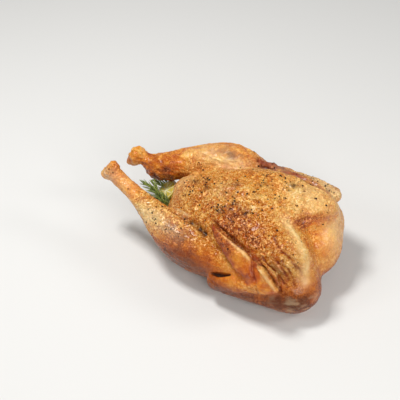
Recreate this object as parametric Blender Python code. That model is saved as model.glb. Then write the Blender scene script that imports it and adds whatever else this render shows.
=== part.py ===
"""A whole roast turkey lying on its back, with two lemon slices in its cavity.

+X points to the neck end, +Z up through the breast, +Y to the bird's right side.
The flesh is a field: every muscle is a signed distance, and neighbouring muscles
melt into each other over a stated width. The field is turned into a mesh cell by
cell, thinned by a Decimate modifier and cut flat underneath by a Boolean.
All lengths are metres.
"""

import math

import bmesh
import bpy
import numpy as np
from mathutils import Matrix, Vector

CELL = 0.0027            # grid step that the flesh is meshed at
TURKEY_TRIANGLES = 8700
FLAT = 0.0020            # the back is cut off level at this height

STEPS = 3                # points of a limb's curve for each of its joints
FAR = 0.04               # distances beyond this don't matter to any join

SIDES = {"left": -1.0, "right": 1.0}
ROLL = math.radians(9.0)
ROLL_CENTRE = np.array([0.0, 0.0, 0.050])

LEMON_RADIUS = 0.0200
LEMON_THICKNESS = 0.0050
LEMON_SEGMENTS = 40
LEMON_ROOM = 0.0010      # clear space round each slice
# centre, and the way the cut face looks
LEMONS = {
    "lemon_slice_upper": ((-0.1050, 0.0130, 0.0495), (-0.50, -0.35, 0.79)),
    "lemon_slice_lower": ((-0.0978, 0.0050, 0.0423), (-0.50, -0.35, 0.79)),
}


# --- Distance fields ---------------------------------------------------------

def melt(a, b, width):
    """Union of two distances, rounded over width where they meet."""
    overlap = np.maximum(width - np.abs(a - b), 0.0) / width
    return np.minimum(a, b) - overlap * overlap * width / 4


def carve(a, b, width):
    """Distance a with b taken away, its lip rounded over width."""
    return -melt(-a, b, width)


def ellipsoid(p, centre, radii, pitch=0.0, yaw=0.0, roll=0.0):
    """Ellipsoid; pitch lifts its +X end, yaw turns it about Z, roll about its own X."""
    turn = (Matrix.Rotation(yaw, 3, "Z") @ Matrix.Rotation(-pitch, 3, "Y")
            @ Matrix.Rotation(roll, 3, "X"))
    local = (p - np.array(centre)) @ np.array(turn)
    near = np.linalg.norm(local / np.array(radii), axis=-1)
    slope = np.linalg.norm(local / np.square(radii), axis=-1)
    return near * (near - 1.0) / np.maximum(slope, 1e-9)


def eased(joints):
    """The joints (x, y, z, radius) with STEPS points in each gap, along a smooth curve."""
    rows = np.array(joints)
    ends = np.vstack([2 * rows[0] - rows[1], rows, 2 * rows[-1] - rows[-2]])
    curve = []
    for a, b, c, d in zip(ends[:-3], ends[1:-2], ends[2:-1], ends[3:]):
        for t in np.arange(STEPS) / STEPS:
            curve.append(b + 0.5 * t * (c - a + t * (2 * a - 5 * b + 4 * c - d
                                                     + t * (3 * (b - c) + d - a))))
    return [*curve, rows[-1]]


def limb(p, joints, flat=1.0, face=(0.0, 0.0, 1.0)):
    """A smooth tube through joints (x, y, z, radius). flat under 1 thins it along face."""
    joints = eased(joints)
    face = np.array(face) / np.linalg.norm(face)
    reach = max(j[3] for j in joints) + FAR
    low = np.min(joints, axis=0)[:3] - reach
    high = np.max(joints, axis=0)[:3] + reach
    close = np.all((p > low) & (p < high), axis=-1)
    q = p[close]
    nearest, radius = np.full(len(q), 1.0), np.zeros(len(q))
    for start, end in zip(joints[:-1], joints[1:]):
        a, along = start[:3], end[:3] - start[:3]
        share = np.clip((q - a) @ along / (along @ along), 0.0, 1.0)
        off = q - a - share[:, None] * along
        depth = off @ face
        size = np.sum(off * off, axis=1) + depth**2 * (1.0 / flat**2 - 1.0)
        radius = np.where(size < nearest, start[3] + share * (end[3] - start[3]), radius)
        nearest = np.minimum(nearest, size)
    best = (np.sqrt(nearest) - radius) * flat
    d = np.full(p.shape[:-1], FAR)
    d[close] = best
    return d


# --- The bird ----------------------------------------------------------------

def rolled(p):
    """Points in the torso's own frame: the bird lies rolled onto its left shoulder."""
    turn = Matrix.Rotation(ROLL, 3, "X")
    return (p - ROLL_CENTRE) @ np.array(turn) + ROLL_CENTRE


def torso(p):
    """Rib cage, back, hips, breast lobes, keel and the skin over the neck."""
    p = rolled(p)
    d = ellipsoid(p, (0.047, 0.0, 0.054), (0.118, 0.074, 0.054))
    hips = ellipsoid(p, (-0.028, 0.0, 0.038), (0.064, 0.056, 0.034))
    d = melt(d, hips, 0.030)
    for side in SIDES.values():
        lobe = ellipsoid(p, (0.054, side * 0.033, 0.080), (0.114, 0.047, 0.047),
                         pitch=0.16, yaw=side * 0.14)
        d = melt(d, lobe, 0.025)
    keel = limb(p, [(-0.046, 0, 0.068, 0.012), (-0.02, 0, 0.098, 0.012),
                    (0.05, 0, 0.122, 0.010), (0.108, 0, 0.112, 0.008)])
    d = melt(d, keel, 0.028)
    neck = ellipsoid(p, (0.144, 0.012, 0.052), (0.039, 0.050, 0.036), pitch=-0.3)
    return melt(d, neck, 0.018)


def breast_end(p):
    """The blunt end of the breast over the cavity."""
    return ellipsoid(p, (-0.047, 0.000, 0.083), (0.029, 0.022, 0.019))


def shoulders(p):
    """The shoulder on each side, and the arms of the wishbone under the skin."""
    left = ellipsoid(p, (0.142, -0.057, 0.037), (0.046, 0.040, 0.037))
    flank = ellipsoid(p, (0.096, -0.047, 0.060), (0.060, 0.042, 0.047))
    left = melt(left, flank, 0.012)
    right = ellipsoid(p, (0.122, 0.054, 0.066), (0.044, 0.034, 0.036))
    bones = limb(p, [(0.118, -0.012, 0.104, 0.006), (0.134, -0.022, 0.094, 0.007),
                     (0.149, -0.034, 0.084, 0.008), (0.160, -0.045, 0.066, 0.009),
                     (0.164, -0.056, 0.048, 0.010)])
    shelf = limb(p, [(0.118, -0.010, 0.102, 0.006), (0.126, 0.002, 0.097, 0.008),
                     (0.136, 0.022, 0.090, 0.010), (0.148, 0.044, 0.080, 0.010)])
    return melt(melt(left, right, 0.01), melt(bones, shelf, 0.006), 0.012)


def thigh(p, side):
    if side < 0:
        return ellipsoid(p, (0.006, -0.062, 0.043), (0.070, 0.034, 0.034))
    return ellipsoid(p, (-0.020, 0.068, 0.060), (0.066, 0.034, 0.046))


def drumstick(p, side):
    """From the knee to the bare end with its two knobs; loose skin hangs from the right one."""
    if side < 0:
        joints = [(0.056, -0.079, 0.058, 0.021), (0.030, -0.077, 0.058, 0.026),
                  (0.006, -0.077, 0.060, 0.029),
                  (-0.024, -0.074, 0.064, 0.0295), (-0.052, -0.069, 0.072, 0.026),
                  (-0.077, -0.063, 0.080, 0.0195), (-0.099, -0.058, 0.089, 0.0140),
                  (-0.117, -0.054, 0.097, 0.0115), (-0.142, -0.049, 0.106, 0.0110),
                  (-0.155, -0.046, 0.112, 0.0115)]
        knobs = [(-0.152, -0.046, 0.125, 0.0075), (-0.168, -0.046, 0.103, 0.0070)]
    else:
        joints = [(0.010, 0.074, 0.090, 0.024), (-0.017, 0.070, 0.102, 0.0245),
                  (-0.043, 0.064, 0.098, 0.0245), (-0.069, 0.054, 0.092, 0.0235),
                  (-0.089, 0.044, 0.087, 0.0225), (-0.108, 0.037, 0.080, 0.0215),
                  (-0.127, 0.032, 0.076, 0.0200), (-0.140, 0.030, 0.078, 0.0165),
                  (-0.148, 0.028, 0.084, 0.0115), (-0.156, 0.026, 0.087, 0.0105),
                  (-0.163, 0.024, 0.086, 0.0115)]
        knobs = [(-0.161, 0.024, 0.095, 0.0075), (-0.172, 0.024, 0.076, 0.0075),
                 (-0.131, 0.030, 0.065, 0.0090)]
    d = limb(p, joints)
    for x, y, z, radius in knobs:
        d = melt(d, ellipsoid(p, (x, y, z), (radius,) * 3), 0.008)
    return d


def wing(p, side):
    """The folded wing: shoulder to elbow, elbow to wrist, then the flat tip and the thumb."""
    if side < 0:
        upper = [(0.140, -0.078, 0.034, 0.022), (0.100, -0.091, 0.036, 0.016),
                 (0.049, -0.098, 0.034, 0.0125)]
        fore = [(0.050, -0.100, 0.041, 0.0125), (0.091, -0.102, 0.056, 0.0130),
                (0.132, -0.099, 0.070, 0.0125)]
        web = ((0.092, -0.093, 0.072), (0.036, 0.010, 0.016), 0.32)
        hand = [(0.127, -0.100, 0.078, 0.0160), (0.102, -0.098, 0.089, 0.0160),
                (0.077, -0.092, 0.100, 0.0125), (0.051, -0.082, 0.107, 0.0080),
                (0.027, -0.071, 0.110, 0.0040)]
        thumb = [(0.139, -0.100, 0.074, 0.0110), (0.132, -0.099, 0.090, 0.0090),
                 (0.119, -0.095, 0.104, 0.0035)]
        face = (0.0, -0.75, 0.66)
    else:
        upper = [(0.125, 0.062, 0.070, 0.022), (0.085, 0.080, 0.070, 0.016),
                 (0.045, 0.086, 0.068, 0.0125)]
        fore = [(0.045, 0.086, 0.076, 0.0115), (0.095, 0.084, 0.094, 0.0115),
                (0.142, 0.074, 0.100, 0.0115)]
        web = ((0.090, 0.080, 0.090), (0.040, 0.008, 0.014), 0.25)
        hand = [(0.136, 0.073, 0.102, 0.0130), (0.110, 0.077, 0.103, 0.0135),
                (0.080, 0.078, 0.104, 0.0115), (0.050, 0.075, 0.108, 0.0085),
                (0.024, 0.072, 0.112, 0.0045)]
        thumb = [(0.144, 0.070, 0.102, 0.0100), (0.134, 0.067, 0.110, 0.0075),
                 (0.118, 0.065, 0.116, 0.0035)]
        face = (0.0, 0.75, 0.66)
    centre, radii, pitch = web
    d = melt(limb(p, upper), limb(p, fore), 0.010)
    d = melt(d, ellipsoid(p, centre, radii, pitch=pitch), 0.006)
    d = melt(d, limb(p, hand, flat=0.55, face=face), 0.005)
    return melt(d, limb(p, thumb, flat=0.65, face=face), 0.002)


def tail_end(p, d):
    """Adds the walls of the body cavity and the tail under it, then opens the cavity."""
    walls = ellipsoid(p, (-0.037, 0.001, 0.044), (0.044, 0.053, 0.037))
    d = melt(d, walls, 0.016)
    tail = ellipsoid(p, (-0.096, 0.006, 0.016), (0.032, 0.024, 0.012), pitch=-0.12)
    d = melt(d, tail, 0.014)
    cavity = ellipsoid(p, (-0.088, 0.010, 0.050), (0.056, 0.034, 0.024), pitch=-0.42)
    d = carve(d, cavity, 0.008)
    for centre, face in LEMONS.values():
        d = carve(d, slice_distance(p, centre, face) - LEMON_ROOM, 0.002)
    return d


def slice_distance(p, centre, face):
    """Distance to a lemon slice."""
    face = np.array(face) / np.linalg.norm(face)
    off = p - np.array(centre)
    height = off @ face
    out = np.sqrt(np.maximum(np.sum(off * off, axis=-1) - height**2, 0.0))
    return np.maximum(out - LEMON_RADIUS, np.abs(height) - LEMON_THICKNESS / 2)


def flesh(p):
    """Signed distance of the whole bird at points p."""
    d = melt(torso(p), shoulders(p), 0.016)
    d = melt(d, breast_end(p), 0.016)
    d = tail_end(p, d)
    for side in SIDES.values():
        leg = melt(thigh(p, side), drumstick(p, side), 0.022)
        d = melt(d, leg, 0.010)
    for side in SIDES.values():
        d = melt(d, wing(p, side), 0.003)
    return d


# --- From field to mesh --------------------------------------------------------

def opposite_corners(inside):
    """Pairs of views of inside: the two ends of every diagonal, and what lies between them."""
    low, high = slice(None, -1), slice(1, None)
    for axis in range(3):
        for flip in (False, True):
            ends = []
            for first, second in ((low, low), (high, high), (low, high), (high, low)):
                where = [slice(None)] * 3
                where[(axis + 1) % 3], where[(axis + 2) % 3] = first, second
                ends.append(inside[tuple(where)])
            yield (ends[:2], ends[2:]) if not flip else (ends[2:], ends[:2])


def filled(value):
    """Fills the grid where flesh would only meet flesh along an edge or at a point, and pockets."""
    inside = value < 0
    while True:
        before = inside.sum()
        for (a, b), (c, d) in opposite_corners(inside):
            c |= a & b & ~c & ~d
        lone = corner_pairs(inside)
        inside[:-1, :-1, :-1] |= lone
        if inside.sum() == before:
            break
    inside = ~reached(~inside)
    return np.where(inside & (value >= 0), -1e-5, value)


def reached(free):
    """The free grid points that a way leads to from the grid's corner, so no sealed pocket."""
    open_air = np.zeros_like(free)
    open_air[0, 0, 0] = True
    while True:
        grown = open_air.copy()
        for axis in range(3):
            here, there = np.moveaxis(grown, axis, 0), np.moveaxis(open_air, axis, 0)
            here[1:] |= there[:-1]
            here[:-1] |= there[1:]
        grown &= free
        if grown.sum() == open_air.sum():
            return open_air
        open_air = grown


def corner_pairs(inside):
    """Cells where only two opposite corners are inside, or only two are outside."""
    cell = np.stack([inside[i:i - 1 or None, j:j - 1 or None, k:k - 1 or None]
                     for i in (0, 1) for j in (0, 1) for k in (0, 1)])
    count = cell.sum(axis=0)
    across = np.zeros(count.shape, bool)
    for i in range(4):
        across |= (cell[i] == cell[7 - i]) & np.where(count == 2, cell[i], ~cell[i])
    return across & ((count == 2) | (count == 6))


def field_mesh(name, field, low, high, step):
    """One vertex in each grid cell that the surface crosses, one quad round each crossed edge."""
    axes = [np.arange(a, b, step) for a, b in zip(low, high)]
    grid = np.stack(np.meshgrid(*axes, indexing="ij"), axis=-1)
    value = filled(field(grid))
    inside = value < 0
    shape = np.array(value.shape) - 1
    total, count = np.zeros((*shape, 3)), np.zeros(shape)
    corners = [(i, j, k) for i in (0, 1) for j in (0, 1) for k in (0, 1)]

    def corner(array, c):
        return array[c[0]:c[0] + shape[0], c[1]:c[1] + shape[1], c[2]:c[2] + shape[2]]

    for a in corners:
        for axis in range(3):
            if a[axis]:
                continue
            b = tuple(1 if i == axis else v for i, v in enumerate(a))
            va, vb = corner(value, a), corner(value, b)
            cut = (va < 0) != (vb < 0)
            share = np.where(cut, va / np.where(cut, va - vb, 1.0), 0.0)[..., None]
            point = np.array(a, float) + share * (np.array(b) - np.array(a))
            total += np.where(cut[..., None], point, 0.0)
            count += cut
    crossed = count > 0
    index = np.full(shape, -1)
    index[crossed] = np.arange(crossed.sum())
    cells = np.argwhere(crossed)
    points = np.array(low) + (cells + total[crossed] / count[crossed][:, None]) * step
    quads = []
    for axis in range(3):
        u, v = (axis + 1) % 3, (axis + 2) % 3
        here, there = np.delete(inside, -1, axis), np.delete(inside, 0, axis)
        for out in (False, True):
            edges = np.argwhere((here == (not out)) & (there == out))
            keep = (edges[:, u] > 0) & (edges[:, v] > 0)
            keep &= (edges[:, u] < shape[u]) & (edges[:, v] < shape[v])
            edges = edges[keep]
            ring = []
            for du, dv in ((1, 1), (0, 1), (0, 0), (1, 0)):
                cell = edges.copy()
                cell[:, u] -= du
                cell[:, v] -= dv
                ring.append(index[tuple(cell.T)])
            ring = np.stack(ring if not out else ring[::-1], axis=1)
            quads.append(ring)
    mesh = bpy.data.meshes.new(name)
    mesh.from_pydata(points.tolist(), [], np.concatenate(quads)[:, ::-1].tolist())
    mesh.update()
    return mesh


def material(name, colour, roughness):
    mat = bpy.data.materials.new(name)
    mat.use_nodes = True
    shader = mat.node_tree.nodes["Principled BSDF"]
    shader.inputs["Base Color"].default_value = (*colour, 1.0)
    shader.inputs["Roughness"].default_value = roughness
    mat.diffuse_color = (*colour, 1.0)
    return mat


def make(name, mesh, mat=None):
    obj = bpy.data.objects.new(name, mesh)
    bpy.context.scene.collection.objects.link(obj)
    if mat is not None:
        mesh.materials.append(mat)
    return obj


# --- The nodes -------------------------------------------------------------------

def turkey_node():
    """The flesh, thinned to TURKEY_TRIANGLES and cut flat underneath."""
    mesh = field_mesh("turkey", flesh, (-0.21, -0.15, -0.01), (0.215, 0.15, 0.19), CELL)
    turkey = make("turkey", mesh, material("turkey_skin", (0.62, 0.33, 0.12), 0.42))
    thin = turkey.modifiers.new("thin", "DECIMATE")
    thin.ratio = TURKEY_TRIANGLES / (2 * len(mesh.polygons))
    bm = bmesh.new()
    bmesh.ops.create_cube(bm, size=1.0)
    bmesh.ops.translate(bm, vec=(0.0, 0.0, FLAT - 0.5), verts=bm.verts)
    block = bpy.data.meshes.new("level_cut")
    bm.to_mesh(block)
    bm.free()
    cutter = make("level_cut", block)
    cutter.hide_render = True
    cutter.display_type = "WIRE"
    level = turkey.modifiers.new("level", "BOOLEAN")
    level.operation = "DIFFERENCE"
    level.solver = "EXACT"
    level.object = cutter
    return turkey, cutter


def lemon_node(name, centre, face, mat):
    """A slice: two flat cut faces and a rounded rind."""
    half, bulge = LEMON_THICKNESS / 2, LEMON_THICKNESS * 0.35
    profile = [(LEMON_RADIUS - bulge * (1 - math.cos(a)), half * math.sin(a))
               for a in np.radians([90, 60, 30, 0, -30, -60, -90])]
    bm = bmesh.new()
    rings = []
    for radius, height in profile:
        ring = [bm.verts.new((radius * math.cos(t), radius * math.sin(t), height))
                for t in np.arange(LEMON_SEGMENTS) * 2 * math.pi / LEMON_SEGMENTS]
        rings.append(ring)
    for upper, lower in zip(rings, rings[1:]):
        for i in range(LEMON_SEGMENTS):
            j = (i + 1) % LEMON_SEGMENTS
            bm.faces.new((upper[i], lower[i], lower[j], upper[j]))
    bm.faces.new(rings[0])
    bm.faces.new(rings[-1][::-1])
    turn = Vector(face).to_track_quat("Z", "Y").to_matrix().to_4x4()
    bmesh.ops.transform(bm, matrix=Matrix.Translation(centre) @ turn, verts=bm.verts)
    mesh = bpy.data.meshes.new(name)
    bm.to_mesh(mesh)
    bm.free()
    return make(name, mesh, mat)


def main():
    for obj in list(bpy.data.objects):
        bpy.data.objects.remove(obj)
    turkey, cutter = turkey_node()
    lemon = material("lemon_flesh", (0.80, 0.68, 0.16), 0.35)
    slices = [lemon_node(name, *where, lemon) for name, where in LEMONS.items()]
    shape = turkey.evaluated_get(bpy.context.evaluated_depsgraph_get()).to_mesh()
    points = np.array([v.co for v in shape.vertices])
    middle = (points.min(axis=0) + points.max(axis=0)) / 2
    to_origin = Matrix.Translation((-middle[0], -middle[1], -points[:, 2].min()))
    for obj in (turkey, cutter, *slices):
        obj.data.transform(to_origin)


if __name__ == "__main__":
    main()
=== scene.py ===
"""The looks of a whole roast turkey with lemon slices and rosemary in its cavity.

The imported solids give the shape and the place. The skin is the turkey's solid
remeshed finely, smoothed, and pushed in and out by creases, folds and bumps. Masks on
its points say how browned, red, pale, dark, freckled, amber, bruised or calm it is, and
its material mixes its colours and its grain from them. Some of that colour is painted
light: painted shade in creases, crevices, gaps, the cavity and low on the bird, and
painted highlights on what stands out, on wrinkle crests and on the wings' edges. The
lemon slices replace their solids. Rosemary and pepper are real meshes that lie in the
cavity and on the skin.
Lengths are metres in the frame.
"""

import math

import bmesh
import bpy
import numpy as np
from mathutils import Matrix, Vector


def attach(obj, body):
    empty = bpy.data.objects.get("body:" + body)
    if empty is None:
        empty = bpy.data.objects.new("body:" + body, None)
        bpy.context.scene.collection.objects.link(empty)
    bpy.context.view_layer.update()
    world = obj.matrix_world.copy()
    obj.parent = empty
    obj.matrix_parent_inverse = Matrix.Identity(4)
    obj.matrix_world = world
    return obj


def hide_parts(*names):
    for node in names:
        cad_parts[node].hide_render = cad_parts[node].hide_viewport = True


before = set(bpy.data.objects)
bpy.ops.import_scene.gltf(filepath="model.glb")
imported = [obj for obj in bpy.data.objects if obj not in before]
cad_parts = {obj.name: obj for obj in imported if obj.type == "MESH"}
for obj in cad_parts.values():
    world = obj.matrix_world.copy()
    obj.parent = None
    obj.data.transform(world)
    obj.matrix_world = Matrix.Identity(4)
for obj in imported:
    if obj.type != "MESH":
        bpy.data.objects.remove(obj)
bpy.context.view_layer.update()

SKIN_CELL = 0.0015        # voxel size of the skin's mesh
SKIN_SMOOTHING = 20       # passes that take the solid's facets away

# the camera: its place, the directions of its picture's right and down, and its lens
CAMERA_PLACE = (0.59159, -0.93261, 1.09746)
CAMERA_RIGHT = (0.85103539, 0.52309509, -0.04593781)
CAMERA_DOWN = (0.32339855, -0.59104073, -0.73897512)
LENS, SENSOR = 93.94, 36.0


# --- Noise -------------------------------------------------------------------

def chance(cells, seed):
    """A number from 0 to 1 for each whole-numbered cell, always the same for the same seed."""
    n = cells.astype(np.int64)
    mixed = (n[..., 0] * 374761393 + n[..., 1] * 668265263 + n[..., 2] * 1440662683
             + seed * 974634777) & 0xFFFFFFFF
    mixed = ((mixed ^ (mixed >> 13)) * 1274126177) & 0xFFFFFFFF
    return ((mixed ^ (mixed >> 16)) & 0xFFFF) / 65535.0


def noise(p, size, seed=0, octaves=1):
    """Smooth noise from about -1 to 1, with lumps of the given size."""
    total, weight = 0.0, 0.0
    for octave in range(octaves):
        q = p / size * 2**octave + 17.3 * octave
        cell = np.floor(q)
        t = q - cell
        t = t * t * (3 - 2 * t)
        value = 0.0
        for corner in np.ndindex(2, 2, 2):
            share = np.prod(np.where(np.array(corner), t, 1 - t), axis=-1)
            value = value + share * chance(cell + corner, seed + octave)
        total = total + (2 * value - 1) * 0.5**octave
        weight += 0.5**octave
    return total / weight


def ridges(p, size, seed=0, octaves=1):
    """Noise with sharp crests: 1 on a crest, 0 between crests."""
    return 1 - np.minimum(np.abs(noise(p, size, seed, octaves)) * 2.2, 1)


def cells(p, size, seed=0):
    """Distance to the nearest of scattered points, 0 at a point and about 1 between them."""
    q = p / size
    home = np.floor(q)
    best = np.full(len(p), 9.0)
    for step in np.ndindex(3, 3, 3):
        cell = home + step - 1
        jitter = np.stack([chance(cell, seed + k) for k in range(3)], axis=-1)
        best = np.minimum(best, np.sum((cell + jitter - q)**2, axis=-1))
    return np.sqrt(best)


# --- Places on the bird ------------------------------------------------------

def spot(p, centre, radii):
    """1 at the centre, fading out over radii."""
    off = (p - np.array(centre)) / np.array(radii)
    return np.exp(-np.sum(off * off, axis=-1))


def stroke(p, points, width):
    """1 along a line through points, fading out over width."""
    best = np.full(len(p), 1e9)
    for a, b in zip(np.array(points)[:-1], np.array(points)[1:]):
        along = b - a
        share = np.clip((p - a) @ along / (along @ along), 0, 1)
        best = np.minimum(best, np.sum((p - a - share[:, None] * along)**2, axis=-1))
    return np.exp(-best / width**2)


def unit(direction):
    return np.array(direction) / np.linalg.norm(direction)


def blade(p, points, widths, faces):
    """Where p lies on a tapering strip seen along the way it faces.

    Gives the distance outside its edge, below 0 inside it, the place across it from -1
    at one edge to 1 at the other, and a share that falls from 1 to 0 over the last part
    of the strip, where it melts into the rest. Points far behind it count as outside.
    """
    faces = unit(faces)
    best, place, kept = np.full(len(p), 1e9), np.zeros(len(p)), np.ones(len(p))
    last = len(points) - 2
    for k in range(len(points) - 1):
        a, b = np.array(points[k]), np.array(points[k + 1])
        run = b - a - faces * ((b - a) @ faces)
        rel = p - a
        depth = rel @ faces
        rel = rel - depth[:, None] * faces
        share = np.clip(rel @ run / (run @ run), 0, 1)
        wide = widths[k] + (widths[k + 1] - widths[k]) * share
        rel = rel - share[:, None] * run
        out = np.linalg.norm(rel, axis=1) + 0.5 * np.maximum(-depth - 0.020, 0)
        side = np.sign(rel @ np.cross(faces, run))
        nearer = out - wide < best
        best = np.where(nearer, out - wide, best)
        place = np.where(nearer, side * out / wide, place)
        kept = np.where(nearer, 1 - step_up(share, 0.0, 0.9) * (k == last), kept)
    return best, place, kept


def step_up(x, low, high):
    """0 below low, 1 above high, and a smooth rise between them."""
    t = np.clip((x - low) / (high - low), 0, 1)
    return t * t * (3 - 2 * t)


# lines on the skin, as points along each; the near side is the camera's, -Y

# the crease between the near leg and the breast, the tear in it, and the web of skin
# that spans its tail end
LEG_CREASE = [(-0.062, -0.049, 0.090), (-0.041, -0.052, 0.090), (-0.017, -0.056, 0.091),
              (0.002, -0.063, 0.091), (0.022, -0.074, 0.087), (0.040, -0.080, 0.081)]
TORN_GAP = [(-0.017, -0.056, 0.091), (-0.002, -0.062, 0.092), (0.013, -0.069, 0.090)]
SKIN_WEB = [(-0.061, -0.036, 0.084), (-0.045, -0.044, 0.088), (-0.026, -0.050, 0.092)]
# along the top of the breast
KEEL_LINE = [(0.052, -0.015, 0.130), (0.068, -0.013, 0.129), (0.084, -0.014, 0.128),
             (0.100, -0.010, 0.125)]
# the ridge down the front of the breast, and the shelf of neck skin beside it
WISHBONE = [(0.117, -0.016, 0.116), (0.136, -0.029, 0.109), (0.152, -0.042, 0.100),
            (0.163, -0.050, 0.079), (0.168, -0.057, 0.062)]
NECK_SHELF = [(0.118, -0.012, 0.114), (0.127, -0.003, 0.110), (0.141, 0.015, 0.106),
              (0.161, 0.043, 0.097)]
FAR_LEG_CREASE = [(-0.060, 0.030, 0.100), (-0.035, 0.046, 0.113), (-0.008, 0.052, 0.114),
                  (0.015, 0.062, 0.112)]
# where the far thigh's near side meets the breast
THIGH_FOOT = [(-0.066, 0.0555, 0.1145), (-0.049, 0.0534, 0.114), (-0.032, 0.0533, 0.1134),
              (-0.015, 0.0538, 0.112)]
# where the tip of the near wing's thumb lies over its hand
THUMB_SEAM = [(0.102, -0.089, 0.098), (0.106, -0.098, 0.090), (0.113, -0.104, 0.080)]
# the far wing, folded along the far side of the breast
FAR_WING_EDGE = [(0.022, 0.080, 0.109), (0.042, 0.070, 0.114), (0.075, 0.062, 0.122),
                 (0.105, 0.060, 0.124), (0.131, 0.059, 0.120), (0.148, 0.059, 0.114)]
FAR_WING_FOLD = [(0.045, 0.084, 0.109), (0.075, 0.078, 0.112), (0.105, 0.076, 0.114),
                 (0.135, 0.070, 0.112)]
# its tip in the crook of the thigh, and its crevice with the breast
FAR_TIP = [(0.020, 0.088, 0.108), (0.042, 0.082, 0.111), (0.064, 0.077, 0.113),
           (0.086, 0.068, 0.118)]
FAR_CREVICE = [(0.090, 0.062, 0.124), (0.110, 0.056, 0.128), (0.129, 0.057, 0.124),
               (0.136, 0.060, 0.118)]
# valleys between the folds that the near breast's skin is gathered into
FOLDS = [[(0.112, -0.052, 0.117), (0.129, -0.063, 0.107), (0.142, -0.062, 0.103),
          (0.156, -0.060, 0.084), (0.160, -0.057, 0.072)],
         [(0.135, -0.069, 0.097), (0.146, -0.069, 0.085), (0.151, -0.067, 0.072),
          (0.157, -0.073, 0.061)],
         [(0.109, -0.076, 0.098), (0.120, -0.078, 0.089), (0.127, -0.077, 0.085),
          (0.139, -0.075, 0.068), (0.148, -0.078, 0.061)],
         [(0.131, -0.072, 0.095), (0.140, -0.072, 0.083), (0.147, -0.071, 0.068)],
         [(0.147, -0.063, 0.096), (0.155, -0.064, 0.084)]]
FOLD_RUN = (0.78, 0.0, -0.63)          # the way the folds run

# tapering strips: points along the middle, half the width at each, and the way it faces
WING_FACES = (0.15, -0.70, 0.70)
FAR_FACES = (0.10, 0.45, 0.88)
STRIPS = {
    "hand": ([(0.024, -0.064, 0.110), (0.039, -0.076, 0.107), (0.059, -0.086, 0.104),
              (0.083, -0.095, 0.098), (0.104, -0.102, 0.086)],
             (0.0008, 0.0060, 0.0098, 0.0135, 0.0165), WING_FACES),
    "thumb": ([(0.103, -0.087, 0.098), (0.117, -0.097, 0.090), (0.128, -0.103, 0.078),
               (0.140, -0.107, 0.058)],
              (0.0006, 0.0078, 0.0122, 0.0150), WING_FACES),
    "far_wing": ([(0.018, 0.084, 0.110), (0.045, 0.080, 0.112), (0.080, 0.078, 0.114),
                  (0.115, 0.076, 0.114), (0.146, 0.070, 0.110)],
                 (0.0010, 0.0080, 0.0120, 0.0135, 0.0120), FAR_FACES),
    # the slit between the thigh and the near elbow
    "slit": ([(0.040, -0.097, 0.050), (0.050, -0.097, 0.053), (0.059, -0.097, 0.057),
              (0.070, -0.097, 0.063)],
             (0.0001, 0.0018, 0.0012, 0.0001), WING_FACES)}

# where the skin is smooth: centre, radii and amount
CALMED = [((0.160, -0.066, 0.033), (0.054, 0.052, 0.032), 0.80),
          ((-0.010, -0.100, 0.056), (0.074, 0.032, 0.032), 0.62)]
# painted highlights on the bright edges of the blades: place across, and width
HAND_HIGHLIGHT, THUMB_HIGHLIGHT = (0.74, 0.13), (0.72, 0.16)


def bell(x, middle, width):
    """1 where x is at the middle, fading out over width."""
    return np.exp(-((x - middle) / width)**2)


def patches(p, table):
    """The sum of a table's spots: centre, radii and amount of each."""
    return sum(amount * spot(p, centre, radii) for centre, radii, amount in table)


def lines(p, table):
    """The sum of a table's strokes: line, width and amount of each."""
    return sum(amount * stroke(p, line, width) for line, width, amount in table)


def gathers(p, width):
    """Valleys between the folds of the near breast: 1 at the bottom, 0 outside."""
    wavy = p + 0.0012 * np.stack([noise(p, 0.009, 31 + k) for k in range(3)], axis=-1)
    return np.max([stroke(wavy, line, width) for line in FOLDS], axis=0)


def drawn_out(p, way, share):
    """Points with their distance along a direction made smaller, so noise runs along it."""
    return p - (1 - share) * (p @ np.array(way))[:, None] * np.array(way)


def on_strip(strip):
    """1 inside a strip's edge, 0 outside."""
    return step_up(-strip[0], -0.001, 0.002)


def strip_edge(strip, place, width):
    """1 on a line that runs along a strip at a place across it, fading out over width."""
    return on_strip(strip) * strip[2] * bell(strip[1], place, width)


def regions(p):
    """Masks from 0 to 1 for the parts of the bird, where p lies on each strip, and the
    two noises that its browning shares."""
    tail, near, far, high = -p[:, 0], -p[:, 1], p[:, 1], p[:, 2]
    where = {name: blade(p, *strip) for name, strip in STRIPS.items()}
    near_leg = step_up(tail, -0.040, 0.005) * step_up(near, 0.046, 0.062)
    far_leg = step_up(tail, -0.030, 0.015) * step_up(far, 0.040, 0.056)
    far_leg = np.maximum(far_leg, step_up(tail, 0.078, 0.092) * step_up(far, 0.004, 0.012))
    near_wing = spot(p, (0.075, -0.100, 0.062), (0.070, 0.014, 0.050))
    neck = spot(p, (0.160, 0.005, 0.075), (0.030, 0.050, 0.045))
    calm = 0.55 * near_wing + 0.55 * neck + patches(p, CALMED)
    for name in ("hand", "thumb"):
        calm += 0.42 * step_up(-where[name][0], -0.001, 0.003)
    calm += 0.35 * stroke(p, WISHBONE, 0.0120) + 0.30 * far_leg
    calm += 0.25 * step_up(far, -0.020, 0.030)
    calm += 0.60 * step_up(tail, 0.096, 0.116) * step_up(near, 0.0, 0.020)
    where.update(near_leg=near_leg, far_leg=far_leg, near_wing=near_wing, neck=neck,
                 folds=spot(p, (0.136, -0.074, 0.086), (0.030, 0.026, 0.036)),
                 breast=step_up(high, 0.085, 0.105) * (1 - near_leg) * (1 - far_leg),
                 calm=np.minimum(calm, 0.85),
                 mottle=noise(p, 0.020, 70, 3), fine=noise(p, 0.006, 71, 2))
    return where


# --- Meshes ------------------------------------------------------------------

def piece_of(name, mesh):
    """The mesh as an object of the scene that rides on the only body."""
    piece = bpy.data.objects.new(name, mesh)
    bpy.context.scene.collection.objects.link(piece)
    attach(piece, "root")
    return piece


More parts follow.
